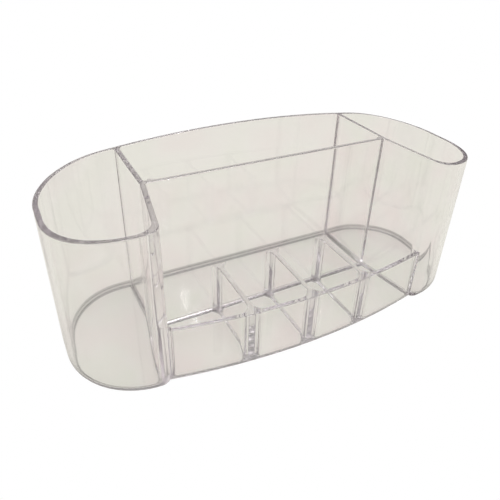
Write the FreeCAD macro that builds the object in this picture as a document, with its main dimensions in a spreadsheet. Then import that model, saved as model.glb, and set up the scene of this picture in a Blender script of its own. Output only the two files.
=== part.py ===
"""Clear plastic makeup box: a floor tray, two round-ended cups, a deep rear bay and four low front bays.

Millimetres. The origin is the middle of the underside, +X runs to the right along the box,
+Y to the tall back and +Z up, so the low bowed front faces -Y.
"""
import FreeCAD
import Part
import Sketcher
import math
import os

# Sizes that can be set by themselves, in millimetres, and two angles in degrees
SIZES = {
    "overall_width": 220.0,
    "overall_height": 88.0,
    "cup_depth": 82.5,
    "side_straight": 10.5,
    "back_straight": 8.0,
    "front_reach": 5.5,
    "rear_depth": 40.0,
    "front_height": 32.0,
    "rim_drop": 10.2,
    "wall": 2.4,
    "low_wall": 2.4,
    "floor": 2.5,
    "foot_height": 4.0,
    "cup_floor_round": 2.0,
    "bay_floor_bevel": 1.0,
    "bottom_round": 4.6,
    "corner_radius": 8.0,
    "root_radius": 5.2,
    "corner_root": 2.0,
    "notch_root": 2.0,
    "side_bay_extra": 3.6,
    "flare_angle": 9.0,
    "front_meet_angle": 50.0,
}

# The low front is shared by this many bays
FRONT_BAYS = 4

# Sizes and places that follow from them
FORMULAS = {
    "half_width": "overall_width / 2",
    "back_y": "(cup_depth + front_reach) / 2",
    "back_inner_y": "back_y - wall",
    "front_y": "-back_y",
    # Round end of a cup: two arcs with a short straight side between them
    "end_radius": "(cup_depth - side_straight) / 2",
    "end_x": "half_width - end_radius",
    "end_inner_x": "half_width - wall",
    "end_inner_radius": "end_radius - wall",
    "rear_end_y": "back_y - end_radius",
    "front_end_y": "back_y - cup_depth + end_radius",
    # Partition between a cup and the middle, a short straight run of the back away from the arc
    "partition_x": "end_x - back_straight",
    "partition_in": "partition_x - wall / 2",
    "partition_out": "partition_x + wall / 2",
    # Long wall between the rear bay and the front bays
    "middle_rear_y": "back_inner_y - rear_depth",
    "middle_front_y": "middle_rear_y - wall",
    # The partition bends outwards in front of that wall
    "flare": "tan(flare_angle)",
    "bend_out_y": "middle_front_y + wall * tan(flare_angle / 2)",
    # Rounded front corner that turns the cup's end into the bent partition
    "corner_inner_radius": "corner_radius - wall",
    "corner_mid_radius": "corner_radius - wall / 2",
    "corner_shift": "partition_in + flare * (middle_front_y - front_end_y)"
                    " + corner_radius / cos(flare_angle) - end_x",
    "corner_drop": "(sqrt((1 + flare^2) * (end_radius - corner_radius)^2 - corner_shift^2)"
                   " - corner_shift * flare) / (1 + flare^2)",
    "corner_x": "end_x + corner_shift + flare * corner_drop",
    "corner_y": "front_end_y - corner_drop",
    "tip_x": "corner_x - corner_radius * cos(flare_angle)",
    "tip_y": "corner_y - corner_radius * sin(flare_angle)",
    "tip_inner_x": "corner_x - corner_inner_radius * cos(flare_angle)",
    "tip_inner_y": "corner_y - corner_inner_radius * sin(flare_angle)",
    # Bow of the low front, through its foremost point and a point on each rounded corner
    "meet_x": "corner_x - corner_radius * cos(front_meet_angle)",
    "meet_y": "corner_y - corner_radius * sin(front_meet_angle)",
    "front_sag": "meet_y - front_y",
    "front_radius": "(meet_x^2 + front_sag^2) / (2 * front_sag)",
    "front_inner_radius": "front_radius - low_wall",
    "front_mid_radius": "front_radius - low_wall / 2",
    "front_centre_y": "front_y + front_radius",
    # Low dividers, the outer bays being a little wider
    "bay_pitch": f"(2 * partition_in + low_wall - 2 * side_bay_extra) / {FRONT_BAYS}",
    "half_divider": "low_wall / 2",
    "side_divider_in": "bay_pitch - low_wall / 2",
    "side_divider_out": "bay_pitch + low_wall / 2",
    "foot_centre_y": "front_centre_y - front_mid_radius",
    "foot_side_y": "front_centre_y - sqrt(front_mid_radius^2 - bay_pitch^2)",
    # Seams of the low pieces, just past the flared roots
    "root_end_x": "side_divider_out + root_radius",
    "front_seat_y":
        "front_centre_y - sqrt((front_inner_radius - root_radius)^2 - root_end_x^2) + half_divider",
    "rear_seat_y": "middle_front_y - root_radius - half_divider",
    "front_seat_x": "corner_x - corner_radius - corner_root - half_divider",
    # Heights: the walls stand on the floor tray, and the tall rim is an arch over the width
    "base_height": "floor + foot_height",
    "rim_radius": "half_width^2 / (2 * rim_drop) + rim_drop / 2",
    "rim_centre_z": "overall_height - rim_radius",
    "rim_reach": "half_width + wall",
    "rim_clear_z": "overall_height + rim_drop",
    "middle_top": "rim_centre_z + sqrt(rim_radius^2 - partition_in^2)",
    "tall_rise": "overall_height - base_height",
    "middle_rise": "middle_top - base_height",
    "low_rise": "front_height - base_height",
}

# Left and right face of each low divider
DIVIDER_FACES = {
    "divider_left": ("-side_divider_out", "-side_divider_in"),
    "divider_centre": ("-half_divider", "half_divider"),
    "divider_right": ("side_divider_in", "side_divider_out"),
}

TOLERANCE = 1e-4
Vector = FreeCAD.Vector
doc = FreeCAD.newDocument("makeup_box")


def fill_sheet():
    """Write the sizes and the formulas to the sheet, and return all their values by name"""
    sheet = doc.addObject("Spreadsheet::Sheet", "Sheet")
    cells = {name: str(value) for name, value in SIZES.items()}
    cells.update({name: "=" + formula for name, formula in FORMULAS.items()})
    for row, (name, content) in enumerate(cells.items(), 1):
        sheet.set(f"A{row}", name)
        sheet.set(f"B{row}", content)
        sheet.setAlias(f"B{row}", name)
    doc.recompute()
    return {name: float(sheet.get(name)) for name in cells}


size = fill_sheet()


def signed(name):
    """Value and formula of a named size, which may carry a minus sign"""
    if name.startswith("-"):
        return -size[name[1:]], f"-Sheet.{name[1:]}"
    return size[name], f"Sheet.{name}"


def new_body(label):
    body = doc.addObject("PartDesign::Body", label)
    body.Label = label
    return body


def new_sketch(body, name, role="XY_Plane", rise=None):
    """Sketch on one of the body's own planes, lifted by a named height"""
    sketch = body.newObject("Sketcher::SketchObject", name)
    plane = [feature for feature in body.Origin.OriginFeatures if feature.Role == role]
    sketch.AttachmentSupport = [(plane[0], "")]
    sketch.MapMode = "FlatFace"
    if rise:
        sketch.setExpression("AttachmentOffset.Base.z", f"Sheet.{rise}")
    return sketch


def relate(sketch, kind, *places):
    sketch.addConstraint(Sketcher.Constraint(kind, *places))


def dimension(sketch, kind, *places, name):
    """Dimension of a sketch that is bound to a named size"""
    value, formula = signed(name)
    index = sketch.addConstraint(Sketcher.Constraint(kind, *places, value))
    sketch.setExpression(f"Constraints[{index}]", formula)


def place(sketch, geometry, point, x=None, y=None):
    """Hold a point of the sketch at named distances from the origin"""
    if x:
        dimension(sketch, "DistanceX", -1, 1, geometry, point, name=x)
    if y:
        dimension(sketch, "DistanceY", -1, 1, geometry, point, name=y)


def add_line(sketch, start, end):
    return sketch.addGeometry(Part.LineSegment(Vector(*start), Vector(*end)))


def add_arc(sketch, centre, start, end):
    """Arc that runs anticlockwise about a centre from one point to another"""
    angles = [math.atan2(point[1] - centre[1], point[0] - centre[0]) for point in (start, end)]
    if angles[1] <= angles[0]:
        angles[1] += 2 * math.pi
    circle = Part.Circle(Vector(*centre), Vector(0, 0, 1), math.dist(centre, start))
    return sketch.addGeometry(Part.ArcOfCircle(circle, *angles))


def rectangle(sketch, left, right, front, back):
    """Rectangle whose four sides lie at named distances from the origin"""
    x0, x1, y0, y1 = [signed(name)[0] for name in (left, right, front, back)]
    corners = [(x0, y0), (x1, y0), (x1, y1), (x0, y1)]
    sides = [add_line(sketch, corners[i], corners[(i + 1) % 4]) for i in range(4)]
    for i, side in enumerate(sides):
        relate(sketch, "Coincident", side, 2, sides[(i + 1) % 4], 1)
        relate(sketch, "Vertical" if i % 2 else "Horizontal", side)
    place(sketch, sides[0], 1, left, front)
    place(sketch, sides[2], 1, right, back)


def polygon(sketch, corners):
    """Closed run of straight sides through corners that are given by the names of their places"""
    spots = [(size[x], size[y]) for x, y in corners]
    count = len(corners)
    sides = [add_line(sketch, spots[i], spots[(i + 1) % count]) for i in range(count)]
    for i, side in enumerate(sides):
        relate(sketch, "Coincident", side, 2, sides[(i + 1) % count], 1)
        place(sketch, side, 1, *corners[i])


def circle_meet(centre_a, radius_a, centre_b, radius_b):
    """The two points where two circles cross"""
    apart = math.dist(centre_a, centre_b)
    along = (apart ** 2 + radius_a ** 2 - radius_b ** 2) / (2 * apart)
    aside = math.sqrt(radius_a ** 2 - along ** 2)
    ux = (centre_b[0] - centre_a[0]) / apart
    uy = (centre_b[1] - centre_a[1]) / apart
    foot = (centre_a[0] + along * ux, centre_a[1] + along * uy)
    return [(foot[0] - side * aside * uy, foot[1] + side * aside * ux) for side in (1, -1)]


def pad(body, sketch, name, height):
    feature = body.newObject("PartDesign::Pad", name)
    feature.Profile = sketch
    feature.setExpression("Length", f"Sheet.{height}")
    return feature


def pocket(body, sketch, name, depth):
    feature = body.newObject("PartDesign::Pocket", name)
    feature.Profile = sketch
    feature.setExpression("Length", f"Sheet.{depth}")
    return feature


def dress(body, name, kind, wanted):
    """Add a fillet or a chamfer on those edges of the body that pass a test"""
    doc.recompute()
    base = body.Tip
    edges = [f"Edge{i}" for i, edge in enumerate(base.Shape.Edges, 1) if wanted(edge)]
    if not edges:
        raise RuntimeError(f"{body.Label}: no edge found for {name}")
    feature = body.newObject(f"PartDesign::{kind}", name)
    feature.Base = (base, edges)
    return feature


def fillet(body, name, radius, wanted):
    dress(body, name, "Fillet", wanted).setExpression("Radius", f"Sheet.{radius}")


def chamfer(body, name, bevel, wanted):
    dress(body, name, "Chamfer", wanted).setExpression("Size", f"Sheet.{bevel}")


def upright_at(spots):
    """Test for vertical edges that stand on one of the given plan points"""
    def wanted(edge):
        ends = [vertex.Point for vertex in edge.Vertexes]
        if len(ends) < 2 or abs(ends[0].z - ends[1].z) < TOLERANCE:
            return False
        return any(all(math.dist((p.x, p.y), spot) < TOLERANCE for p in ends) for spot in spots)
    return wanted


def level_at(height, in_cups=None):
    """Test for edges that lie flat at a height, all of them, only in the cups or only between them"""
    def wanted(edge):
        if edge.BoundBox.ZMax - height > TOLERANCE or height - edge.BoundBox.ZMin > TOLERANCE:
            return False
        middle = edge.CenterOfMass
        lean = size["flare"] * max(0.0, size["middle_front_y"] - middle.y)
        return in_cups is None or in_cups == (abs(middle.x) > size["partition_x"] + lean)
    return wanted


# Plan points that several pieces share
rear_end = (size["end_x"], size["rear_end_y"])
front_end = (size["end_x"], size["front_end_y"])
corner_centre = (size["corner_x"], size["corner_y"])
front_centre = (0.0, size["front_centre_y"])
tip_outer = (size["tip_x"], size["tip_y"])
tip_inner = (size["tip_inner_x"], size["tip_inner_y"])


def mirrored(point):
    return (-point[0], point[1])


def on_circle(centre, radius, towards):
    """Point of a circle in the direction from its centre to another point"""
    reach = radius / math.dist(centre, towards)
    return tuple(c + reach * (t - c) for c, t in zip(centre, towards))


def corner_tangent(inset):
    """Where the round end runs into its front corner, an inset inside the outer face"""
    return on_circle(front_end, size["end_radius"] - inset, corner_centre)


def front_on_corner(front_radius, corner_radius):
    """Where an arc of the bowed front crosses an arc of the rounded corner, on the bays' side"""
    return min(circle_meet(front_centre, front_radius, corner_centre, corner_radius))


notch = front_on_corner(size["front_radius"], size["corner_radius"])
bay_corner = front_on_corner(size["front_inner_radius"], size["corner_radius"])


def front_inner_at(x):
    return front_centre[1] - math.sqrt(size["front_inner_radius"] ** 2 - x ** 2)


def divider_feet(row_y):
    """Plan points where both faces of each divider meet a wall that runs across them"""
    faces = [signed(face)[0] for pair in DIVIDER_FACES.values() for face in pair]
    return [(x, row_y(x)) for x in faces]


def hold_front_arc(sketch, arc, radius):
    relate(sketch, "PointOnObject", arc, 3, -2)
    place(sketch, arc, 3, y="front_centre_y")
    dimension(sketch, "Radius", arc, name=radius)


# Floor tray: a rounded slab with a shallow pocket under every bay

def outline_sketch(body):
    """Outside of the box in plan: straight back, round ends, rounded corners, bowed front"""
    sketch = new_sketch(body, "outline")
    back_right = (size["end_x"], size["back_y"])
    side_rear = (size["half_width"], size["rear_end_y"])
    side_front = (size["half_width"], size["front_end_y"])
    turn = corner_tangent(0.0)
    back = add_line(sketch, back_right, mirrored(back_right))
    left_rear = add_arc(sketch, mirrored(rear_end), mirrored(back_right), mirrored(side_rear))
    left_side = add_line(sketch, mirrored(side_rear), mirrored(side_front))
    left_front = add_arc(sketch, mirrored(front_end), mirrored(side_front), mirrored(turn))
    left_corner = add_arc(sketch, mirrored(corner_centre), mirrored(turn), mirrored(notch))
    front = add_arc(sketch, front_centre, mirrored(notch), notch)
    right_corner = add_arc(sketch, corner_centre, notch, turn)
    right_front = add_arc(sketch, front_end, turn, side_front)
    right_side = add_line(sketch, side_front, side_rear)
    right_rear = add_arc(sketch, rear_end, side_rear, back_right)
    left_run = [back, left_rear, left_side, left_front, left_corner]
    right_run = [right_corner, right_front, right_side, right_rear, back]
    for run in (left_run, right_run):
        for first, second in zip(run, run[1:]):
            relate(sketch, "Tangent", first, 2, second, 1)
    relate(sketch, "Coincident", left_corner, 2, front, 1)
    relate(sketch, "Coincident", front, 2, right_corner, 1)
    for sign, rear, fore, corner in (
        ("-", left_rear, left_front, left_corner),
        ("", right_rear, right_front, right_corner),
    ):
        place(sketch, rear, 3, sign + "end_x", "rear_end_y")
        place(sketch, fore, 3, sign + "end_x", "front_end_y")
        dimension(sketch, "Radius", rear, name="end_radius")
        dimension(sketch, "Radius", fore, name="end_radius")
        place(sketch, corner, 3, x=sign + "corner_x")
        dimension(sketch, "Radius", corner, name="corner_radius")
    hold_front_arc(sketch, front, "front_radius")
    return sketch


def cup_sketch(body):
    """Inside of the right cup in plan"""
    sketch = new_sketch(body, "cup_inside", rise="base_height")
    turn = corner_tangent(size["wall"])
    back_turn = (size["end_x"], size["back_inner_y"])
    side_rear = (size["end_inner_x"], size["rear_end_y"])
    side_front = (size["end_inner_x"], size["front_end_y"])
    back_corner = (size["partition_out"], size["back_inner_y"])
    bend = (size["partition_out"], size["bend_out_y"])
    lean = add_line(sketch, bend, tip_inner)
    corner = add_arc(sketch, corner_centre, tip_inner, turn)
    fore = add_arc(sketch, front_end, turn, side_front)
    side = add_line(sketch, side_front, side_rear)
    rear = add_arc(sketch, rear_end, side_rear, back_turn)
    back = add_line(sketch, back_turn, back_corner)
    partition = add_line(sketch, back_corner, bend)
    run = [lean, corner, fore, side, rear, back]
    for first, second in zip(run, run[1:]):
        relate(sketch, "Tangent", first, 2, second, 1)
    relate(sketch, "Coincident", back, 2, partition, 1)
    relate(sketch, "Coincident", partition, 2, lean, 1)
    relate(sketch, "Horizontal", back)
    relate(sketch, "Vertical", partition)
    place(sketch, partition, 2, "partition_out", "bend_out_y")
    place(sketch, rear, 3, "end_x", "rear_end_y")
    place(sketch, fore, 3, "end_x", "front_end_y")
    dimension(sketch, "Radius", rear, name="end_inner_radius")
    dimension(sketch, "Radius", fore, name="end_inner_radius")
    place(sketch, corner, 3, x="corner_x")
    dimension(sketch, "Radius", corner, name="corner_inner_radius")
    return sketch


def front_bays_sketch(body):
    """Inside of the low front in plan, with the cups' rounded corners standing into it"""
    sketch = new_sketch(body, "front_inside", rise="base_height")
    rear_right = (size["partition_in"], size["middle_front_y"])
    rear = add_line(sketch, mirrored(rear_right), rear_right)
    right_side = add_line(sketch, rear_right, tip_outer)
    right_corner = add_arc(sketch, corner_centre, tip_outer, bay_corner)
    front = add_arc(sketch, front_centre, mirrored(bay_corner), bay_corner)
    left_corner = add_arc(sketch, mirrored(corner_centre), mirrored(bay_corner), mirrored(tip_outer))
    left_side = add_line(sketch, mirrored(tip_outer), mirrored(rear_right))
    relate(sketch, "Coincident", rear, 2, right_side, 1)
    relate(sketch, "Tangent", right_side, 2, right_corner, 1)
    relate(sketch, "Coincident", right_corner, 2, front, 2)
    relate(sketch, "Coincident", front, 1, left_corner, 1)
    relate(sketch, "Tangent", left_corner, 2, left_side, 1)
    relate(sketch, "Coincident", left_side, 2, rear, 1)
    place(sketch, rear, 1, "-partition_in", "middle_front_y")
    place(sketch, rear, 2, "partition_in", "middle_front_y")
    for corner, sign in ((left_corner, "-"), (right_corner, "")):
        place(sketch, corner, 3, sign + "corner_x", "corner_y")
        dimension(sketch, "Radius", corner, name="corner_radius")
    hold_front_arc(sketch, front, "front_inner_radius")
    return sketch


def make_base_tray():
    body = new_body("base_tray")
    pad(body, outline_sketch(body), "slab", "base_height")
    fillet(body, "notch_roots", "notch_root", upright_at([notch, mirrored(notch)]))
    fillet(body, "bottom_edge", "bottom_round", level_at(0.0))

    cup = pocket(body, cup_sketch(body), "right_cup_floor", "foot_height")
    doc.recompute()
    both_cups = body.newObject("PartDesign::Mirrored", "both_cup_floors")
    both_cups.Originals = [cup]
    plane = [feature for feature in body.Origin.OriginFeatures if feature.Role == "YZ_Plane"]
    both_cups.MirrorPlane = (plane[0], [""])
    body.Tip = both_cups

    rear = new_sketch(body, "rear_inside", rise="base_height")
    rectangle(rear, "-partition_in", "partition_in", "middle_rear_y", "back_inner_y")
    pocket(body, rear, "rear_floor", "foot_height")

    pocket(body, front_bays_sketch(body), "front_floor", "foot_height")
    feet = new_sketch(body, "divider_feet", rise="floor")
    for node, (left, right) in DIVIDER_FACES.items():
        front_end = "foot_centre_y" if node == "divider_centre" else "foot_side_y"
        rectangle(feet, left, right, front_end, "middle_rear_y")
    pad(body, feet, "feet", "foot_height")

    roots = divider_feet(front_inner_at) + divider_feet(lambda x: size["middle_front_y"])
    fillet(body, "divider_roots", "root_radius", upright_at(roots))
    corners = [bay_corner, mirrored(bay_corner)]
    fillet(body, "corner_roots", "corner_root", upright_at(corners))
    chamfer(body, "bay_floor_edges", "bay_floor_bevel", level_at(size["floor"], in_cups=False))
    fillet(body, "cup_floor_edges", "cup_floor_round", level_at(size["floor"], in_cups=True))
    return body


# Tall walls, whose tops follow one arch over the width

def trim_to_rim(body):
    """Cut a tall wall along the arched rim"""
    sketch = new_sketch(body, "rim", role="XZ_Plane")
    centre = (0.0, size["rim_centre_z"])
    reach = size["rim_reach"]
    low = (reach, centre[1] + math.sqrt(size["rim_radius"] ** 2 - reach ** 2))
    high = (reach, size["rim_clear_z"])
    arch = add_arc(sketch, centre, low, mirrored(low))
    left = add_line(sketch, mirrored(low), mirrored(high))
    top = add_line(sketch, mirrored(high), high)
    right = add_line(sketch, high, low)
    for first, second in ((left, top), (top, right)):
        relate(sketch, "Coincident", first, 2, second, 1)
    relate(sketch, "Coincident", arch, 2, left, 1)
    relate(sketch, "Coincident", right, 2, arch, 1)
    relate(sketch, "Vertical", left)
    relate(sketch, "Horizontal", top)
    relate(sketch, "Vertical", right)
    relate(sketch, "PointOnObject", arch, 3, -2)
    place(sketch, arch, 3, y="rim_centre_z")
    dimension(sketch, "Radius", arch, name="rim_radius")
    place(sketch, top, 1, "-rim_reach", "rim_clear_z")
    place(sketch, top, 2, x="rim_reach")
    cut = body.newObject("PartDesign::Pocket", "rim_cut")
    cut.Profile = sketch
    cut.Type = "ThroughAll"
    cut.SideType = "Symmetric"
    return cut


def make_back_wall():
    body = new_body("back_wall")
    sketch = new_sketch(body, "foot", rise="base_height")
    rectangle(sketch, "-partition_x", "partition_x", "back_inner_y", "back_y")
    pad(body, sketch, "panel", "tall_rise")
    trim_to_rim(body)
    return body


def make_partition():
    """Right partition, straight beside the rear bay and bent outwards to its cup's front corner"""
    body = new_body("right_partition")
    sketch = new_sketch(body, "foot", rise="base_height")
    polygon(sketch, [
        ("partition_in", "back_inner_y"),
        ("partition_in", "middle_front_y"),
        ("tip_x", "tip_y"),
        ("tip_inner_x", "tip_inner_y"),
        ("partition_out", "bend_out_y"),
        ("partition_out", "back_inner_y"),
    ])
    pad(body, sketch, "panel", "tall_rise")
    trim_to_rim(body)
    return body


def end_wall_sketch(body):
    """Foot of the right end wall: a band from the back, round the end and into the front corner"""
    sketch = new_sketch(body, "foot", rise="base_height")
    seam_x = size["partition_x"]
    runs = []
    for inset, side_x, back_y, begin in (
        (0.0, size["half_width"], size["back_y"], tip_outer),
        (size["wall"], size["end_inner_x"], size["back_inner_y"], tip_inner),
    ):
        turn = corner_tangent(inset)
        side_front = (side_x, size["front_end_y"])
        side_rear = (side_x, size["rear_end_y"])
        back_turn = (size["end_x"], back_y)
        corner = add_arc(sketch, corner_centre, begin, turn)
        fore = add_arc(sketch, front_end, turn, side_front)
        side = add_line(sketch, side_front, side_rear)
        rear = add_arc(sketch, rear_end, side_rear, back_turn)
        back = add_line(sketch, back_turn, (seam_x, back_y))
        run = [corner, fore, side, rear, back]
        for first, second in zip(run, run[1:]):
            relate(sketch, "Tangent", first, 2, second, 1)
        relate(sketch, "Horizontal", back)
        runs.append(run)
    outer, inner = runs
    tip = add_line(sketch, tip_outer, tip_inner)
    seam = add_line(sketch, (seam_x, size["back_y"]), (seam_x, size["back_inner_y"]))
    relate(sketch, "Coincident", outer[0], 1, tip, 1)
    relate(sketch, "Coincident", inner[0], 1, tip, 2)
    relate(sketch, "Coincident", outer[4], 2, seam, 1)
    relate(sketch, "Coincident", inner[4], 2, seam, 2)
    for arc in (0, 1, 3):
        relate(sketch, "Coincident", inner[arc], 3, outer[arc], 3)
    place(sketch, outer[3], 3, "end_x", "rear_end_y")
    place(sketch, outer[1], 3, "end_x", "front_end_y")
    for run, radius in ((outer, "end_radius"), (inner, "end_inner_radius")):
        dimension(sketch, "Radius", run[3], name=radius)
        dimension(sketch, "Radius", run[1], name=radius)
    place(sketch, outer[0], 3, x="corner_x")
    dimension(sketch, "Radius", outer[0], name="corner_radius")
    place(sketch, outer[0], 1, x="tip_x")
    relate(sketch, "PointOnObject", outer[0], 3, tip)
    relate(sketch, "Vertical", seam)
    place(sketch, seam, 1, x="partition_x")
    return sketch


def front_stub_sketch(body):
    """Foot of the short low root that carries the bowed front on the cup's rounded corner"""
    sketch = new_sketch(body, "front_root_foot", rise="base_height")
    seat_x = size["front_seat_x"]
    seat_outer = (seat_x, front_centre[1] - math.sqrt(size["front_radius"] ** 2 - seat_x ** 2))
    seat_inner = (seat_x, front_inner_at(seat_x))
    end_outer = front_on_corner(size["front_radius"], size["corner_mid_radius"])
    end_inner = front_on_corner(size["front_inner_radius"], size["corner_mid_radius"])
    outer = add_arc(sketch, front_centre, seat_outer, end_outer)
    close = add_arc(sketch, corner_centre, end_inner, end_outer)
    inner = add_arc(sketch, front_centre, seat_inner, end_inner)
    seat = add_line(sketch, seat_inner, seat_outer)
    relate(sketch, "Coincident", outer, 2, close, 2)
    relate(sketch, "Coincident", close, 1, inner, 2)
    relate(sketch, "Coincident", inner, 1, seat, 1)
    relate(sketch, "Coincident", seat, 2, outer, 1)
    relate(sketch, "Vertical", seat)
    place(sketch, seat, 1, x="front_seat_x")
    hold_front_arc(sketch, outer, "front_radius")
    relate(sketch, "Coincident", inner, 3, outer, 3)
    dimension(sketch, "Radius", inner, name="front_inner_radius")
    place(sketch, close, 3, "corner_x", "corner_y")
    dimension(sketch, "Radius", close, name="corner_mid_radius")
    return sketch


def make_end_wall():
    body = new_body("right_end_wall")
    pad(body, end_wall_sketch(body), "band", "tall_rise")
    trim_to_rim(body)
    pad(body, front_stub_sketch(body), "front_root", "low_rise")
    fillet(body, "notch_root", "notch_root", upright_at([notch]))
    fillet(body, "corner_root", "corner_root", upright_at([bay_corner]))
    return body


def make_middle_wall():
    """Long wall between the partitions, with a flared low root for each divider"""
    body = new_body("middle_wall")
    sketch = new_sketch(body, "foot", rise="base_height")
    rectangle(sketch, "-partition_in", "partition_in", "middle_front_y", "middle_rear_y")
    pad(body, sketch, "panel", "middle_rise")
    roots = new_sketch(body, "root_feet", rise="base_height")
    for left, right in DIVIDER_FACES.values():
        rectangle(roots, left, right, "rear_seat_y", "middle_rear_y")
    pad(body, roots, "roots", "low_rise")
    spots = divider_feet(lambda x: size["middle_front_y"])
    fillet(body, "root_flares", "root_radius", upright_at(spots))
    return body


# Low front: the bowed wall and the dividers

def front_wall_sketch(body):
    """Foot of the bowed band between the two cup roots"""
    sketch = new_sketch(body, "foot", rise="base_height")
    seat_x = size["front_seat_x"]
    outer_end = (seat_x, front_centre[1] - math.sqrt(size["front_radius"] ** 2 - seat_x ** 2))
    inner_end = (seat_x, front_inner_at(seat_x))
    outer = add_arc(sketch, front_centre, mirrored(outer_end), outer_end)
    right = add_line(sketch, outer_end, inner_end)
    inner = add_arc(sketch, front_centre, mirrored(inner_end), inner_end)
    left = add_line(sketch, mirrored(inner_end), mirrored(outer_end))
    relate(sketch, "Coincident", outer, 2, right, 1)
    relate(sketch, "Coincident", right, 2, inner, 2)
    relate(sketch, "Coincident", inner, 1, left, 1)
    relate(sketch, "Coincident", left, 2, outer, 1)
    relate(sketch, "Vertical", left)
    relate(sketch, "Vertical", right)
    place(sketch, left, 1, x="-front_seat_x")
    place(sketch, right, 1, x="front_seat_x")
    hold_front_arc(sketch, outer, "front_radius")
    relate(sketch, "Coincident", inner, 3, outer, 3)
    dimension(sketch, "Radius", inner, name="front_inner_radius")
    return sketch


def make_front_wall():
    body = new_body("front_wall")
    pad(body, front_wall_sketch(body), "band", "low_rise")
    roots = new_sketch(body, "root_feet", rise="base_height")
    for node, (left, right) in DIVIDER_FACES.items():
        front_end = "foot_centre_y" if node == "divider_centre" else "foot_side_y"
        rectangle(roots, left, right, front_end, "front_seat_y")
    pad(body, roots, "roots", "low_rise")
    fillet(body, "root_flares", "root_radius", upright_at(divider_feet(front_inner_at)))
    return body


def make_divider(node):
    """Low plate between a root of the front wall and a root of the middle wall"""
    body = new_body(node)
    left, right = DIVIDER_FACES[node]
    sketch = new_sketch(body, "foot", rise="base_height")
    rectangle(sketch, left, right, "front_seat_y", "rear_seat_y")
    pad(body, sketch, "plate", "low_rise")
    return body


def make_mirror(label, source):
    """Left-hand copy of a right-hand piece"""
    copy = doc.addObject("Part::Mirroring", label)
    copy.Label = label
    copy.Source = source
    copy.Normal = Vector(1, 0, 0)
    return copy


def make_box():
    right_end = make_end_wall()
    right_partition = make_partition()
    pieces = [make_base_tray(), make_back_wall(), right_end, right_partition]
    pieces += [make_mirror("left_end_wall", right_end), make_mirror("left_partition", right_partition)]
    pieces += [make_middle_wall(), make_front_wall()]
    pieces += [make_divider(node) for node in DIVIDER_FACES]
    doc.recompute()
    return pieces


def check(pieces):
    """Stop if any object failed or any piece is not one sound solid"""
    for entry in doc.Objects:
        if "Invalid" in entry.State or "Error" in entry.State:
            raise RuntimeError(f"{entry.Name} ({entry.Label}) failed: {entry.State}")
    for piece in pieces:
        shape = piece.Shape
        if shape.isNull() or not shape.isValid() or len(shape.Solids) != 1:
            raise RuntimeError(f"{piece.Label} is not one valid solid")


pieces = make_box()
check(pieces)
os.makedirs("parts", exist_ok=True)
for piece in pieces:
    piece.Shape.exportStep(f"parts/{piece.Label}.step")
    box = piece.Shape.optimalBoundingBox()
    print(f"{piece.Label}: {piece.Shape.Volume:.1f} mm3, x {box.XMin:.2f} to {box.XMax:.2f}, "
          f"y {box.YMin:.2f} to {box.YMax:.2f}, z {box.ZMin:.2f} to {box.ZMax:.2f}")
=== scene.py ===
import math

import bmesh
import bpy
from mathutils import Matrix, Vector


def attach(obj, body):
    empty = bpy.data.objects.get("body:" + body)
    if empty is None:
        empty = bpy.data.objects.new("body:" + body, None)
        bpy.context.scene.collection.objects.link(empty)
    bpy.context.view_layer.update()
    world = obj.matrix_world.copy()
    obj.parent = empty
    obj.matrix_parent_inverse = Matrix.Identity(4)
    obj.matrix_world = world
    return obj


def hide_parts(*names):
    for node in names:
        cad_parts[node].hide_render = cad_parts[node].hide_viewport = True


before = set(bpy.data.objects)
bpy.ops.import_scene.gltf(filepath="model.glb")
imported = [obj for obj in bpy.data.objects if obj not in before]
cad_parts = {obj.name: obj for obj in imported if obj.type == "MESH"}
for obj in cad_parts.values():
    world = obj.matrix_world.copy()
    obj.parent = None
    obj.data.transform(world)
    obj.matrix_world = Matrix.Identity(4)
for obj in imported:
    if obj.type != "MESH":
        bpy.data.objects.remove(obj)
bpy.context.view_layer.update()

# The box is one injection moulding in clear polystyrene: floor, cups, bays and dividers are a single skin
# without seams, so light runs through them unbroken. Its plan is drawn as flat regions at the height of
# the low front, the right half first, with a pen that makes straight strokes and arcs.
LOW_HEIGHT = 0.032
plan = bmesh.new()
region = plan.faces.layers.int.new("region")


def draw(kind, begin, strokes):
    """Closed region of the plan: a stroke is an end point, or an end point with the centre of its arc"""
    first = bmesh.ops.create_vert(plan, co=(*begin, LOW_HEIGHT))["vert"][0]
    tip = first
    for stroke in strokes:
        if len(stroke) == 2:
            tip = bmesh.ops.extrude_vert_indiv(plan, verts=[tip])["verts"][0]
            tip.co = (*stroke, LOW_HEIGHT)
            continue
        centre = stroke[2]
        radius = math.dist(centre, stroke[:2])
        turn = math.atan2(stroke[1] - centre[1], stroke[0] - centre[0])
        turn -= math.atan2(tip.co.y - centre[1], tip.co.x - centre[0])
        turn = (turn + math.pi) % (2 * math.pi) - math.pi
        step = math.radians(3.0) if radius > 0.02 else math.radians(6.0)
        if radius > 0.2:
            step = 0.0025 / radius
        spun = bmesh.ops.spin(plan, geom=[tip], cent=(*centre, LOW_HEIGHT), axis=(0, 0, 1), angle=turn,
                              steps=max(2, round(abs(turn) / step)))
        tip = [item for item in spun["geom_last"] if isinstance(item, bmesh.types.BMVert)][0]
        tip.co = (*stroke[:2], LOW_HEIGHT)
    chain = []
    vert = tip
    before = None
    while vert != first:
        edge = [item for item in vert.link_edges if item != before][0]
        chain.append(edge)
        before = edge
        vert = edge.other_vert(vert)
    closing = bmesh.ops.contextual_create(plan, geom=[tip, first])["edges"]
    made = bmesh.ops.contextual_create(plan, geom=chain + closing)["faces"]
    made[0][region] = kind


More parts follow.
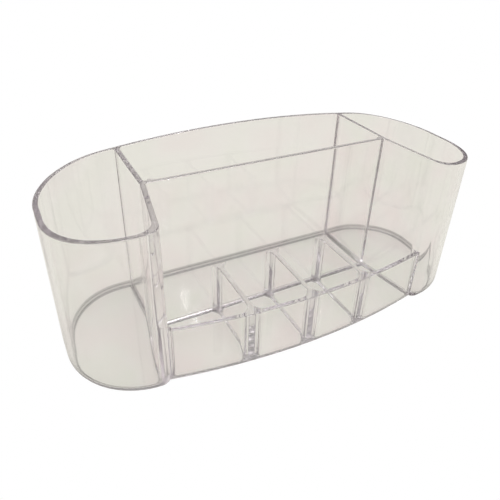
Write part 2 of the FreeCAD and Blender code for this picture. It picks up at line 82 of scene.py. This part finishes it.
# Cup: a tall band of even thickness at each end of the box, moulded in one with the straight back. It
# rounds the end in two arcs with a short straight side, and closes in a small rounded corner that leans
# back to the partition. The bowed low front springs from that corner.
TALL_WALL = 1
WALL = 0.0024
HALF_WIDTH = 0.110
BACK_Y = 0.044
BACK_INNER_Y = BACK_Y - WALL
END_RADIUS = 0.036
END_X = HALF_WIDTH - END_RADIUS
REAR_END = (END_X, BACK_Y - END_RADIUS)
FRONT_END = (END_X, -0.0025)
CORNER_RADIUS = 0.005
CORNER_INSIDE_RADIUS = 0.0065
FRONT_Y = -0.044
FRONT_RADIUS = 0.34885
FRONT_CENTRE = (0.0, FRONT_Y + FRONT_RADIUS)
FRONT_INNER = FRONT_RADIUS - WALL
PARTITION_IN = 0.0648
PARTITION_OUT = PARTITION_IN + WALL
MIDDLE_REAR_Y = 0.0016
MIDDLE_FRONT_Y = MIDDLE_REAR_Y - WALL
BEND = math.radians(9.0)
WALL_ROOT = 0.0018


def on_circle(centre, radius, towards):
    reach = radius / math.dist(centre, towards)
    return (centre[0] + reach * (towards[0] - centre[0]), centre[1] + reach * (towards[1] - centre[1]))


def circles_meet(centre_a, radius_a, centre_b, radius_b):
    apart = math.dist(centre_a, centre_b)
    along = (apart ** 2 + radius_a ** 2 - radius_b ** 2) / (2 * apart)
    aside = math.sqrt(radius_a ** 2 - along ** 2)
    ux = (centre_b[0] - centre_a[0]) / apart
    uy = (centre_b[1] - centre_a[1]) / apart
    foot = (centre_a[0] + along * ux, centre_a[1] + along * uy)
    return [(foot[0] - side * aside * uy, foot[1] + side * aside * ux) for side in (1, -1)]


def line_meets(begin, heading, centre, radius):
    off = begin - Vector(centre)
    ahead = off.dot(heading)
    return begin + (math.sqrt(ahead ** 2 - off.length_squared + radius ** 2) - ahead) * heading


bend = Vector((PARTITION_IN, MIDDLE_FRONT_Y))
along = Vector((math.sin(BEND), -math.cos(BEND)))
aside = Vector((-math.cos(BEND), -math.sin(BEND)))
corner = line_meets(bend - CORNER_RADIUS * aside, along, FRONT_END, END_RADIUS - CORNER_RADIUS)
inside = line_meets(bend - (WALL + CORNER_INSIDE_RADIUS) * aside, along, FRONT_END,
                    END_RADIUS - WALL - CORNER_INSIDE_RADIUS)
tip_outer = tuple(corner + CORNER_RADIUS * aside)
tip_inner = tuple(inside + CORNER_INSIDE_RADIUS * aside)
turn_outer = on_circle(FRONT_END, END_RADIUS, corner)
turn_inner = on_circle(FRONT_END, END_RADIUS - WALL, inside)
notch = min(circles_meet(FRONT_CENTRE, FRONT_RADIUS, corner, CORNER_RADIUS))
draw(TALL_WALL, (0.0, BACK_Y), [
    (END_X, BACK_Y),
    (HALF_WIDTH, REAR_END[1], REAR_END),
    (HALF_WIDTH, FRONT_END[1]),
    (*turn_outer, FRONT_END),
    (*notch, corner),
    (*tip_outer, corner),
    tip_inner,
    (*turn_inner, inside),
    (HALF_WIDTH - WALL, FRONT_END[1], FRONT_END),
    (HALF_WIDTH - WALL, REAR_END[1]),
    (END_X, BACK_INNER_Y, REAR_END),
    (PARTITION_OUT + WALL_ROOT, BACK_INNER_Y),
    (PARTITION_IN - WALL_ROOT, BACK_INNER_Y),
    (0.0, BACK_INNER_Y),
])

# Partition and middle wall: flat plates of the same moulding, as tall as the cups. The partition bends
# outwards in front of the middle wall, and every inside corner keeps a small root for strength.
CORNER_ROOT = 0.0025
BAY_PITCH = 0.0312
HALF_DIVIDER = 0.0012
DIVIDER_FLARE = 0.0064
FLARE_TURN = math.radians(55.0)
bend_out_y = MIDDLE_FRONT_Y + WALL * math.tan(BEND / 2)
root_centre = line_meets(bend + CORNER_ROOT * aside, along, FRONT_CENTRE, FRONT_INNER - CORNER_ROOT)
root_on_partition = tuple(root_centre - CORNER_ROOT * aside)
root_on_front = on_circle(FRONT_CENTRE, FRONT_INNER, root_centre)
side_in = BAY_PITCH - HALF_DIVIDER
side_out = BAY_PITCH + HALF_DIVIDER
flare_width = DIVIDER_FLARE * (1 - math.cos(FLARE_TURN))
rear_corner = (PARTITION_IN - WALL_ROOT, MIDDLE_REAR_Y + WALL_ROOT)
back_corner = (PARTITION_IN - WALL_ROOT, BACK_INNER_Y - WALL_ROOT)
cup_corner = (PARTITION_OUT + WALL_ROOT, BACK_INNER_Y - WALL_ROOT)
draw(TALL_WALL, tip_outer, [
    root_on_partition,
    (PARTITION_IN, MIDDLE_FRONT_Y),
    (side_out + flare_width, MIDDLE_FRONT_Y),
    (side_in - flare_width, MIDDLE_FRONT_Y),
    (HALF_DIVIDER + flare_width, MIDDLE_FRONT_Y),
    (0.0, MIDDLE_FRONT_Y),
    (0.0, MIDDLE_REAR_Y),
    (PARTITION_IN - WALL_ROOT, MIDDLE_REAR_Y),
    (PARTITION_IN, MIDDLE_REAR_Y + WALL_ROOT, rear_corner),
    (PARTITION_IN, BACK_INNER_Y - WALL_ROOT),
    (PARTITION_IN - WALL_ROOT, BACK_INNER_Y, back_corner),
    (PARTITION_OUT + WALL_ROOT, BACK_INNER_Y),
    (PARTITION_OUT, BACK_INNER_Y - WALL_ROOT, cup_corner),
    (PARTITION_OUT, bend_out_y),
    tip_inner,
])

# Deep bays: the rear bay and the inside of a cup. They are the hollows that the tall walls leave, and
# the floor plate closes them below.
DEEP_BAY = 2
draw(DEEP_BAY, (0.0, BACK_INNER_Y), [
    (PARTITION_IN - WALL_ROOT, BACK_INNER_Y),
    (PARTITION_IN, BACK_INNER_Y - WALL_ROOT, back_corner),
    (PARTITION_IN, MIDDLE_REAR_Y + WALL_ROOT),
    (PARTITION_IN - WALL_ROOT, MIDDLE_REAR_Y, rear_corner),
    (0.0, MIDDLE_REAR_Y),
])
draw(DEEP_BAY, (PARTITION_OUT + WALL_ROOT, BACK_INNER_Y), [
    (END_X, BACK_INNER_Y),
    (HALF_WIDTH - WALL, REAR_END[1], REAR_END),
    (HALF_WIDTH - WALL, FRONT_END[1]),
    (*turn_inner, FRONT_END),
    (*tip_inner, inside),
    (PARTITION_OUT, bend_out_y),
    (PARTITION_OUT, BACK_INNER_Y - WALL_ROOT),
    (PARTITION_OUT + WALL_ROOT, BACK_INNER_Y, cup_corner),
])

# Low front: a bowed wall and three dividers, about a third as tall as the cups. The dividers flare where
# they grow out of the bowed wall and out of the middle wall, which leaves the slots between them with
# round corners.
LOW_WALL = 3
DIVIDER_ROOT = 0.0052


def front_root(x):
    """Centre of the round root between the bowed wall and a divider face, x being that centre's place"""
    return (x, FRONT_CENTRE[1] - math.sqrt((FRONT_INNER - DIVIDER_ROOT) ** 2 - x ** 2))


outer_root = front_root(side_out + DIVIDER_ROOT)
inner_root = front_root(side_in - DIVIDER_ROOT)
centre_root = front_root(HALF_DIVIDER + DIVIDER_ROOT)
flare_y = MIDDLE_FRONT_Y - DIVIDER_FLARE * math.sin(FLARE_TURN)
outer_flare = (side_out + DIVIDER_FLARE, flare_y)
inner_flare = (side_in - DIVIDER_FLARE, flare_y)
centre_flare = (HALF_DIVIDER + DIVIDER_FLARE, flare_y)
draw(LOW_WALL, (0.0, MIDDLE_FRONT_Y), [
    (0.0, FRONT_Y),
    (*notch, FRONT_CENTRE),
    (*tip_outer, corner),
    root_on_partition,
    (*root_on_front, root_centre),
    (*on_circle(FRONT_CENTRE, FRONT_INNER, outer_root), FRONT_CENTRE),
    (side_out, outer_root[1], outer_root),
    (side_out, flare_y),
    (side_out + flare_width, MIDDLE_FRONT_Y, outer_flare),
    (side_in - flare_width, MIDDLE_FRONT_Y),
    (side_in, flare_y, inner_flare),
    (side_in, inner_root[1]),
    (*on_circle(FRONT_CENTRE, FRONT_INNER, inner_root), inner_root),
    (*on_circle(FRONT_CENTRE, FRONT_INNER, centre_root), FRONT_CENTRE),
    (HALF_DIVIDER, centre_root[1], centre_root),
    (HALF_DIVIDER, flare_y),
    (HALF_DIVIDER + flare_width, MIDDLE_FRONT_Y, centre_flare),
])

# Slots: the four low bays between the dividers, of which the right half has two. The outer one runs
# along the bent partition to the cup's corner.
LOW_BAY = 4
draw(LOW_BAY, (PARTITION_IN, MIDDLE_FRONT_Y), [
    root_on_partition,
    (*root_on_front, root_centre),
    (*on_circle(FRONT_CENTRE, FRONT_INNER, outer_root), FRONT_CENTRE),
    (side_out, outer_root[1], outer_root),
    (side_out, flare_y),
    (side_out + flare_width, MIDDLE_FRONT_Y, outer_flare),
])
draw(LOW_BAY, (side_in - flare_width, MIDDLE_FRONT_Y), [
    (side_in, flare_y, inner_flare),
    (side_in, inner_root[1]),
    (*on_circle(FRONT_CENTRE, FRONT_INNER, inner_root), inner_root),
    (*on_circle(FRONT_CENTRE, FRONT_INNER, centre_root), FRONT_CENTRE),
    (HALF_DIVIDER, centre_root[1], centre_root),
    (HALF_DIVIDER, flare_y),
    (HALF_DIVIDER + flare_width, MIDDLE_FRONT_Y, centre_flare),
])

# Both halves of the plan are alike, so the left one is a mirror image. The regions become walls and
# bays: the outline goes down to the table, the tall walls go up to a rim that is a low arch over the
# width, and the bays sink to a thin floor plate.
FLOOR = 0.0025
TOP = 0.088
RIM_DROP = 0.0102
RIM_RADIUS = HALF_WIDTH ** 2 / (2 * RIM_DROP) + RIM_DROP / 2
MIDDLE_TOP = TOP - RIM_RADIUS + math.sqrt(RIM_RADIUS ** 2 - PARTITION_IN ** 2)


def move_up(made, rise):
    verts = [item for item in made["geom"] if isinstance(item, bmesh.types.BMVert)]
    bmesh.ops.translate(plan, verts=verts, vec=(0, 0, rise))


def faces_at(height):
    return [face for face in plan.faces if all(abs(vert.co.z - height) < 1e-6 for vert in face.verts)]


bmesh.ops.remove_doubles(plan, verts=plan.verts[:], dist=2e-6)
bmesh.ops.mirror(plan, geom=plan.verts[:] + plan.edges[:] + plan.faces[:], axis="X", merge_dist=2e-6)
middle_cuts = [edge for edge in plan.edges if all(abs(vert.co.x) < 1e-6 for vert in edge.verts)]
bmesh.ops.dissolve_edges(plan, edges=middle_cuts)
move_up(bmesh.ops.extrude_face_region(plan, geom=plan.faces[:]), -LOW_HEIGHT)
bays = [face for face in faces_at(LOW_HEIGHT) if face[region] in (DEEP_BAY, LOW_BAY)]
move_up(bmesh.ops.extrude_face_region(plan, geom=bays), FLOOR - LOW_HEIGHT)
bmesh.ops.delete(plan, geom=bays, context="FACES_ONLY")
walls = [face for face in faces_at(LOW_HEIGHT) if face[region] == TALL_WALL]
move_up(bmesh.ops.extrude_face_region(plan, geom=walls), TOP - LOW_HEIGHT)
bmesh.ops.delete(plan, geom=walls, context="FACES")
for strip in range(-21, 22):
    rim_faces = faces_at(TOP)
    rim_edges = list({edge for face in rim_faces for edge in face.edges})
    rim_verts = list({vert for edge in rim_edges for vert in edge.verts})
    bmesh.ops.bisect_plane(plan, geom=rim_faces + rim_edges + rim_verts, dist=0.0002,
                           plane_co=(0.0049 * strip, 0, 0), plane_no=(1, 0, 0))
for vert in plan.verts:
    if vert.co.z > TOP - 1e-6:
        vert.co.z = TOP - RIM_RADIUS + math.sqrt(RIM_RADIUS ** 2 - vert.co.x ** 2)
        if MIDDLE_FRONT_Y - 1e-6 < vert.co.y < MIDDLE_REAR_Y + 1e-6 and abs(vert.co.x) < PARTITION_IN:
            vert.co.z = MIDDLE_TOP
bmesh.ops.dissolve_faces(plan, faces=faces_at(0.0))
bmesh.ops.recalc_face_normals(plan, faces=plan.faces[:])

# The mould leaves no sharp edge: the foot turns up in a wide round, the floors are dished where they meet
# the walls, and the rims are polished over.
FOOT_ROUND = 0.0046
DEEP_ROUND = 0.0016
SLOT_ROUND = 0.0011
RIM_ROUND = 0.0006
LOW_RIM_ROUND = 0.0005


def round_edges(edges, radius, segments):
    bmesh.ops.bevel(plan, geom=edges, offset=radius, offset_type="OFFSET", segments=segments, profile=0.5,
                    affect="EDGES", material=-1, clamp_overlap=False, loop_slide=True)


def top_edge(edge):
    """True where the flat top of a wall meets one of its upright faces"""
    return (len(edge.link_faces) == 2 and any(face.normal.z > 0.9 for face in edge.link_faces)
            and any(abs(face.normal.z) < 0.2 for face in edge.link_faces))


round_edges([edge for face in faces_at(0.0) for edge in face.edges], FOOT_ROUND, 8)
for face in faces_at(FLOOR):
    round_edges(face.edges[:], DEEP_ROUND if face[region] == DEEP_BAY else SLOT_ROUND, 6)
tall_rim = [edge for edge in plan.edges if top_edge(edge) and all(vert.co.z > 0.07 for vert in edge.verts)]
round_edges(tall_rim, RIM_ROUND, 3)
tall_spots = [vert.co.xy for vert in plan.verts if vert.co.z > 0.07]


def low_and_free(vert):
    """True on the low front's top, away from the walls that rise past it"""
    return abs(vert.co.z - LOW_HEIGHT) < 1e-6 and min((vert.co.xy - spot).length for spot in tall_spots) > 0.0012


low_rim = [edge for edge in plan.edges if top_edge(edge) and all(low_and_free(vert) for vert in edge.verts)]
round_edges(low_rim, LOW_RIM_ROUND, 3)
bmesh.ops.recalc_face_normals(plan, faces=plan.faces[:])
for face in plan.faces:
    face.smooth = True
moulding_mesh = bpy.data.meshes.new("clear_moulding")
plan.to_mesh(moulding_mesh)
plan.free()
moulding_mesh.set_sharp_from_angle(angle=math.radians(35.0))
moulding = bpy.data.objects.new("clear_moulding", moulding_mesh)
bpy.context.scene.collection.objects.link(moulding)
even = moulding.modifiers.new("flat_faces", "WEIGHTED_NORMAL")
even.keep_sharp = True
even.weight = 50

# Clear polystyrene as it leaves the mould: water-clear through a wall and lilac-grey along it, so rims
# and edges look dark. The cooling melt leaves faint pink and green strain, a slight haze and a trace of
# ripple. The rounds near the table carry a painted contact shadow, a grey band with a darker line where
# the foot leaves the table, apart from the roots of the dividers.
plastic = bpy.data.materials.new("clear_polystyrene")
plastic.use_nodes = True
nodes = plastic.node_tree.nodes
links = plastic.node_tree.links
surface = nodes["Principled BSDF"]
surface.inputs["Transmission Weight"].default_value = 1.0
surface.inputs["IOR"].default_value = 1.57
surface.inputs["Metallic"].default_value = 0.0
where = nodes.new("ShaderNodeTexCoord")

strain = nodes.new("ShaderNodeTexNoise")
strain.inputs["Scale"].default_value = 42.0
strain.inputs["Detail"].default_value = 1.0
links.new(where.outputs["Object"], strain.inputs["Vector"])
strain_tint = nodes.new("ShaderNodeValToRGB")
strain_tint.color_ramp.elements[0].position = 0.36
strain_tint.color_ramp.elements[0].color = (0.985, 0.958, 0.964, 1.0)
strain_tint.color_ramp.elements[1].position = 0.64
strain_tint.color_ramp.elements[1].color = (0.972, 0.980, 0.962, 1.0)
strain_tint.color_ramp.elements.new(0.50).color = (0.986, 0.982, 0.980, 1.0)
links.new(strain.outputs["Fac"], strain_tint.inputs["Fac"])

leaning = nodes.new("ShaderNodeSeparateXYZ")
links.new(where.outputs["Normal"], leaning.inputs["Vector"])
lean = nodes.new("ShaderNodeMath")
lean.operation = "ABSOLUTE"
links.new(leaning.outputs["Z"], lean.inputs[0])
# Painted contact shadow: how dark each part of a round is painted, read from how far its face leans. The darkest
# line sits where the foot's round leaves the flat underside.
round_shadow_ramp = nodes.new("ShaderNodeValToRGB")
round_shadow_ramp.color_ramp.elements[0].position = 0.05
round_shadow_ramp.color_ramp.elements[0].color = (0.0, 0.0, 0.0, 1.0)
round_shadow_ramp.color_ramp.elements[1].position = 0.995
round_shadow_ramp.color_ramp.elements[1].color = (0.0, 0.0, 0.0, 1.0)
for position, depth in ((0.15, 0.8), (0.35, 0.8), (0.55, 0.38), (0.80, 0.38), (0.90, 1.0), (0.97, 1.0)):
    round_shadow_ramp.color_ramp.elements.new(position).color = (depth, depth, depth, 1.0)
links.new(lean.outputs["Value"], round_shadow_ramp.inputs["Fac"])


def fade(output, none_at, full_at):
    """Factor that goes from 0 to 1 between two values of an output"""
    step = nodes.new("ShaderNodeMapRange")
    step.inputs["From Min"].default_value = none_at
    step.inputs["From Max"].default_value = full_at
    links.new(output, step.inputs["Value"])
    return step.outputs["Result"]


def product(*factors):
    whole = factors[0]
    for factor in factors[1:]:
        times = nodes.new("ShaderNodeMath")
        times.operation = "MULTIPLY"
        links.new(whole, times.inputs[0])
        links.new(factor, times.inputs[1])
        whole = times.outputs["Value"]
    return whole


place = nodes.new("ShaderNodeSeparateXYZ")
links.new(where.outputs["Object"], place.inputs["Vector"])
across = nodes.new("ShaderNodeMath")
across.operation = "ABSOLUTE"
links.new(place.outputs["X"], across.inputs[0])
in_slots = product(fade(across.outputs["Value"], 0.066, 0.064), fade(place.outputs["Y"], -0.036, -0.034),
                   fade(place.outputs["Y"], -0.0030, -0.0050))
# Painted contact shadow only on the rounds within a few millimetres of the table, and not in the slots.
contact_shadow_mask = product(round_shadow_ramp.outputs["Color"], fade(place.outputs["Z"], 0.0060, 0.0044),
                  fade(in_slots, 1.0, 0.0))
# Painted shadow colour: the plastic's base colour is mixed toward grey there, standing in for the shade where
# the box meets the floor.
painted_contact_shadow = nodes.new("ShaderNodeMix")
painted_contact_shadow.data_type = "RGBA"
painted_contact_shadow.inputs["B"].default_value = (0.22, 0.215, 0.225, 1.0)
links.new(contact_shadow_mask, painted_contact_shadow.inputs["Factor"])
links.new(strain_tint.outputs["Color"], painted_contact_shadow.inputs["A"])
links.new(painted_contact_shadow.outputs["Result"], surface.inputs["Base Color"])

haze = nodes.new("ShaderNodeTexNoise")
haze.inputs["Scale"].default_value = 60.0
haze.inputs["Detail"].default_value = 4.0
links.new(where.outputs["Object"], haze.inputs["Vector"])
polish = nodes.new("ShaderNodeMapRange")
polish.inputs["From Min"].default_value = 0.35
polish.inputs["From Max"].default_value = 0.75
polish.inputs["To Min"].default_value = 0.012
polish.inputs["To Max"].default_value = 0.045
links.new(haze.outputs["Fac"], polish.inputs["Value"])
links.new(polish.outputs["Result"], surface.inputs["Roughness"])

ripple = nodes.new("ShaderNodeTexNoise")
ripple.inputs["Scale"].default_value = 60.0
ripple.inputs["Detail"].default_value = 2.0
links.new(where.outputs["Object"], ripple.inputs["Vector"])
skin = nodes.new("ShaderNodeBump")
skin.inputs["Strength"].default_value = 0.04
skin.inputs["Distance"].default_value = 0.0004
links.new(ripple.outputs["Fac"], skin.inputs["Height"])
links.new(skin.outputs["Normal"], surface.inputs["Normal"])

edge_on = nodes.new("ShaderNodeLayerWeight")
edge_on.inputs["Blend"].default_value = 0.35
veil = nodes.new("ShaderNodeValToRGB")
veil.color_ramp.elements[0].position = 0.1
veil.color_ramp.elements[0].color = (0.985, 0.983, 0.978, 1.0)
veil.color_ramp.elements[1].position = 0.9
veil.color_ramp.elements[1].color = (0.62, 0.61, 0.62, 1.0)
links.new(edge_on.outputs["Facing"], veil.inputs["Fac"])
pale_shadow = nodes.new("ShaderNodeBsdfTransparent")
links.new(veil.outputs["Color"], pale_shadow.inputs["Color"])
ray_kind = nodes.new("ShaderNodeLightPath")
let_light_by = nodes.new("ShaderNodeMixShader")
links.new(ray_kind.outputs["Is Shadow Ray"], let_light_by.inputs["Fac"])
links.new(surface.outputs["BSDF"], let_light_by.inputs[1])
links.new(pale_shadow.outputs["BSDF"], let_light_by.inputs[2])
links.new(let_light_by.outputs["Shader"], nodes["Material Output"].inputs["Surface"])
depth_tint = nodes.new("ShaderNodeVolumeAbsorption")
depth_tint.inputs["Color"].default_value = (0.735, 0.70, 0.725, 1.0)
depth_tint.inputs["Density"].default_value = 10.0
links.new(depth_tint.outputs["Volume"], nodes["Material Output"].inputs["Volume"])

moulding_mesh.materials.append(plastic)
moulding.visible_diffuse = False
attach(moulding, "root")
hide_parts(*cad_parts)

# Plain pale floor that the box stands on. Seen straight it is bare white, and through the plastic it
# shows as softly lit paper.
floor_bm = bmesh.new()
bmesh.ops.create_grid(floor_bm, x_segments=1, y_segments=1, size=6.0)
bmesh.ops.translate(floor_bm, verts=floor_bm.verts[:], vec=(0, 0, -0.0002))
floor_mesh = bpy.data.meshes.new("pale_floor")
floor_bm.to_mesh(floor_mesh)
floor_bm.free()
floor = bpy.data.objects.new("pale_floor", floor_mesh)
bpy.context.scene.collection.objects.link(floor)
paper = bpy.data.materials.new("pale_paper")
paper.use_nodes = True
paper_nodes = paper.node_tree.nodes
paper_links = paper.node_tree.links
paper_nodes["Principled BSDF"].inputs["Base Color"].default_value = (0.80, 0.785, 0.73, 1.0)
paper_nodes["Principled BSDF"].inputs["Roughness"].default_value = 0.9
bare = paper_nodes.new("ShaderNodeEmission")
paper_ray = paper_nodes.new("ShaderNodeLightPath")
seen_straight = paper_nodes.new("ShaderNodeMixShader")
paper_links.new(paper_ray.outputs["Is Camera Ray"], seen_straight.inputs["Fac"])
paper_links.new(paper_nodes["Principled BSDF"].outputs["BSDF"], seen_straight.inputs[1])
paper_links.new(bare.outputs["Emission"], seen_straight.inputs[2])
paper_links.new(seen_straight.outputs["Shader"], paper_nodes["Material Output"].inputs["Surface"])
floor_mesh.materials.append(paper)

# Soft studio light: a pale surround that is dark near the horizon, which is what the edges of the plastic
# pick up, a broad soft box overhead and a small one in front.
world = bpy.data.worlds.new("studio")
world.use_nodes = True
sky = world.node_tree.nodes
sky_links = world.node_tree.links
direction = sky.new("ShaderNodeTexCoord")
split = sky.new("ShaderNodeSeparateXYZ")
sky_links.new(direction.outputs["Generated"], split.inputs["Vector"])
shade = sky.new("ShaderNodeValToRGB")
shade.color_ramp.elements[0].position = 0.0
shade.color_ramp.elements[0].color = (0.12, 0.11, 0.12, 1.0)
shade.color_ramp.elements[1].position = 0.9
shade.color_ramp.elements[1].color = (1.0, 0.99, 0.97, 1.0)
shade.color_ramp.elements.new(0.12).color = (0.42, 0.40, 0.42, 1.0)
sky_links.new(split.outputs["Z"], shade.inputs["Fac"])
sky_links.new(shade.outputs["Color"], sky["Background"].inputs["Color"])
sky["Background"].inputs["Strength"].default_value = 0.82
backdrop = sky.new("ShaderNodeBackground")
backdrop.inputs["Color"].default_value = (1.0, 1.0, 1.0, 1.0)
sky_ray = sky.new("ShaderNodeLightPath")
past_the_box = sky.new("ShaderNodeMixShader")
sky_links.new(sky_ray.outputs["Is Camera Ray"], past_the_box.inputs["Fac"])
sky_links.new(sky["Background"].outputs["Background"], past_the_box.inputs[1])
sky_links.new(backdrop.outputs["Background"], past_the_box.inputs[2])
sky_links.new(past_the_box.outputs["Shader"], sky["World Output"].inputs["Surface"])
bpy.context.scene.world = world


def soft_box(name, place, width, height, power):
    light = bpy.data.lights.new(name, "AREA")
    light.shape = "RECTANGLE"
    light.size = width
    light.size_y = height
    light.energy = power
    lamp = bpy.data.objects.new(name, light)
    lamp.location = place
    lamp.rotation_euler = (Vector((0, 0, 0.03)) - Vector(place)).to_track_quat("-Z", "Y").to_euler()
    bpy.context.scene.collection.objects.link(lamp)


soft_box("front_light", (0.27, -0.85, 0.80), 0.02, 0.05, 0.5)
soft_box("overhead_light", (0.12, 0.12, 1.05), 0.70, 0.70, 4.3)

# Camera at the photograph's angle: in front, to the left and above.
lens = bpy.data.cameras.new("camera")
lens.sensor_width = 36.0
lens.lens = 36.81
lens.shift_x = -0.0172
lens.shift_y = -0.0201
lens.clip_start = 0.01
camera = bpy.data.objects.new("camera", lens)
camera.matrix_world = Matrix((
    (0.8838, 0.2275, -0.4088, -0.11663),
    (-0.4666, 0.4928, -0.7345, -0.19494),
    (0.0343, 0.8399, 0.5417, 0.18370),
    (0.0, 0.0, 0.0, 1.0),
))
bpy.context.scene.collection.objects.link(camera)
bpy.context.scene.camera = camera
bpy.context.scene.view_settings.view_transform = "Standard"
bpy.context.scene.cycles.max_bounces = 96
bpy.context.scene.cycles.transmission_bounces = 96
bpy.context.scene.cycles.glossy_bounces = 96
